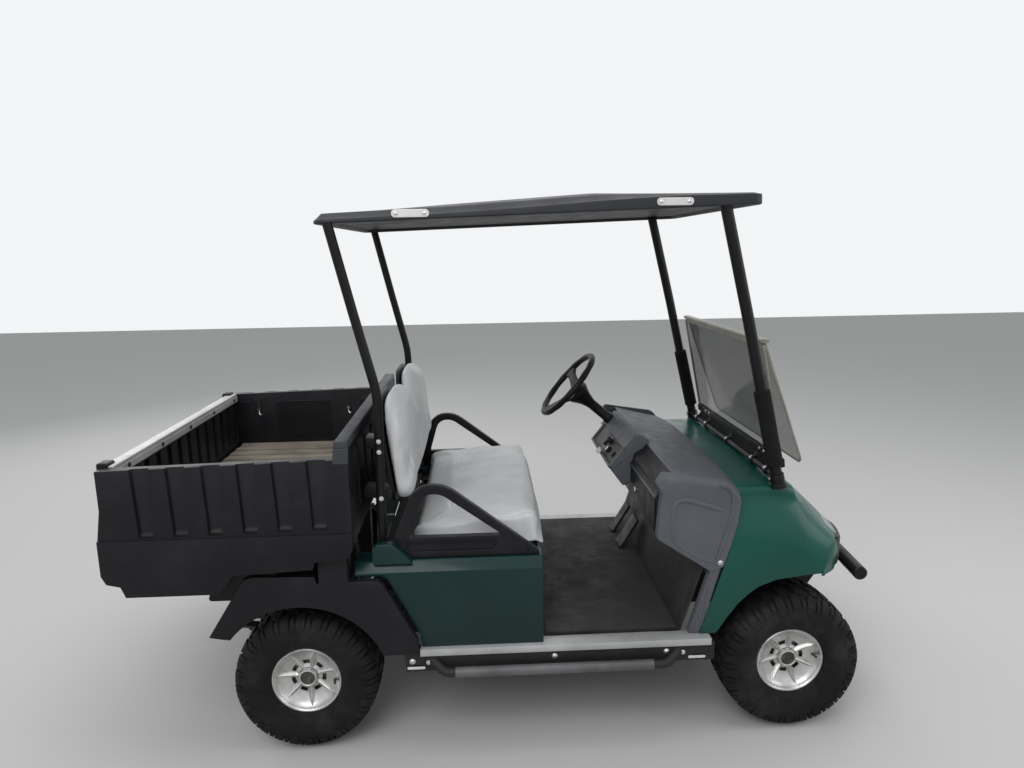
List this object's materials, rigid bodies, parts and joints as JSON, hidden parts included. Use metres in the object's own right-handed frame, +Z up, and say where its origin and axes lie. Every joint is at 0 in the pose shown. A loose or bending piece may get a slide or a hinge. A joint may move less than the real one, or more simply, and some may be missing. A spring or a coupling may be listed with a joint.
{
  "type": "utility vehicle",
  "caption": "Two-seat open utility vehicle with canopy, folding windscreen, hip restraints and a tipping cargo bed with tailgate.",
  "frame": {"origin": "on the ground under the middle of the vehicle's length and width", "axes": "+X forward, +Y to the driver's (left) side, +Z up"},
  "size_m": [2.6219, 1.26, 1.8666],
  "materials": {
    "tyre": "knobbly black rubber",
    "rim": "cast silver",
    "frame": "black paint",
    "step": "black paint, worn",
    "floor": "black",
    "mat": "ribbed rubber",
    "strip": "satin",
    "spring": "dusty black",
    "machinery": "dusty cast metal",
    "green_paint": "glossy green",
    "black_moulding": "textured black",
    "grey_moulding": "textured grey",
    "vinyl": "light grey vinyl",
    "canopy_moulding": "dark grey",
    "post": "black paint",
    "foam": "black foam",
    "plate": "pale",
    "screen": "tinted clear plastic",
    "lamp": "clear lens",
    "wheel_grip": "black grip"
  },
  "bodies": {
    "chassis": {"frame_rails": "frame", "cross_members": "frame", "frame_brackets": "frame", "hitch_tongue": "strip", "side_sills": "frame", "floor_pan": "floor", "floor_mat": "mat", "rocker_strips": "strip", "side_steps": "step", "rear_leaf_springs": "spring", "front_leaf_spring": "spring", "front_arms": "frame", "shock_absorbers": "frame", "steering_rack": "machinery", "rear_axle": "machinery", "engine": "machinery", "rear_body": "green_paint", "seat_base": "black_moulding", "rear_fenders": "black_moulding", "hip_restraints": "black_moulding", "seat_back": "vinyl", "seat_back_shell": "black_moulding", "front_cowl": "green_paint", "headlamps": "lamp", "dash_cowl": "grey_moulding", "dash": "black_moulding", "control_pod": "grey_moulding", "steering_column": "post", "pedals": "frame", "front_bumper": "post", "canopy": "canopy_moulding", "canopy_posts": "post", "strut_sleeves": "foam", "roof_plates": "plate", "windscreen": "screen", "screen_clamps": "post"},
    "bed": {"bed_tub": "black_moulding", "bed_front_cap": "grey_moulding", "bed_subframe": "frame"},
    "tailgate": {"tailgate": "black_moulding", "tailgate_rail": "strip"},
    "seat_lid": {"seat_pan": "black_moulding", "seat_bottom": "vinyl"},
    "steering_wheel": {"steering_wheel": "wheel_grip"},
    "steering_link": {"tie_rods": "machinery"},
    "knuckle_left": {"knuckle_left": "machinery"},
    "knuckle_right": {"knuckle_right": "machinery"},
    "wheel_rear_left": {"tyre_rear_left": "tyre", "rim_rear_left": "rim"},
    "wheel_rear_right": {"tyre_rear_right": "tyre", "rim_rear_right": "rim"},
    "wheel_front_left": {"tyre_front_left": "tyre", "rim_front_left": "rim"},
    "wheel_front_right": {"tyre_front_right": "tyre", "rim_front_right": "rim"}
  },
  "joints": [
    {"name": "roll_rear_left", "type": "hinge", "parent": "chassis", "child": "wheel_rear_left", "pos_m": [-0.719, 0.465, 0.245], "axis": [0, 1, 0], "continuous": true},
    {"name": "roll_rear_right", "type": "hinge", "parent": "chassis", "child": "wheel_rear_right", "pos_m": [-0.719, -0.465, 0.245], "axis": [0, 1, 0], "continuous": true},
    {"name": "steer_left", "type": "hinge", "parent": "chassis", "child": "knuckle_left", "pos_m": [0.946, 0.32, 0.245], "axis": [0, 0, 1], "range_deg": [-24.2, 24.2]},
    {"name": "roll_front_left", "type": "hinge", "parent": "knuckle_left", "child": "wheel_front_left", "pos_m": [0.946, 0.465, 0.245], "axis": [0, 1, 0], "continuous": true},
    {"name": "steer_right", "type": "hinge", "parent": "chassis", "child": "knuckle_right", "pos_m": [0.946, -0.32, 0.245], "axis": [0, 0, 1], "range_deg": [-24.2, 24.2]},
    {"name": "roll_front_right", "type": "hinge", "parent": "knuckle_right", "child": "wheel_front_right", "pos_m": [0.946, -0.465, 0.245], "axis": [0, 1, 0], "continuous": true},
    {"name": "steering_wheel_turn", "type": "hinge", "parent": "chassis", "child": "steering_wheel", "pos_m": [0.273, 0.27, 1.089], "axis": [-0.7547, 0, 0.6561], "range_deg": [-336, 336]},
    {"name": "rack_slide", "type": "slide", "parent": "chassis", "child": "steering_link", "axis": [0, 1, 0], "range_m": [-0.0455, 0.0455]},
    {"name": "bed_tilt", "type": "hinge", "parent": "chassis", "child": "bed", "pos_m": [-1.019, 0, 0.64], "axis": [0, -1, 0], "range_deg": [0, 45]},
    {"name": "tailgate_drop", "type": "hinge", "parent": "bed", "child": "tailgate", "pos_m": [-1.285, 0, 0.778], "axis": [0, -1, 0], "range_deg": [0, 90]},
    {"name": "seat_lift", "type": "hinge", "parent": "chassis", "child": "seat_lid", "pos_m": [-0.344, 0, 0.645], "axis": [0, -1, 0], "range_deg": [0, 45]}
  ],
  "couplings": [
    {"joint": "steer_left", "follows": "steering_wheel_turn", "ratio": 0.071429},
    {"joint": "steer_right", "follows": "steering_wheel_turn", "ratio": 0.071429},
    {"joint": "rack_slide", "follows": "steering_wheel_turn", "m_per_rad": -0.0076294}
  ]
}
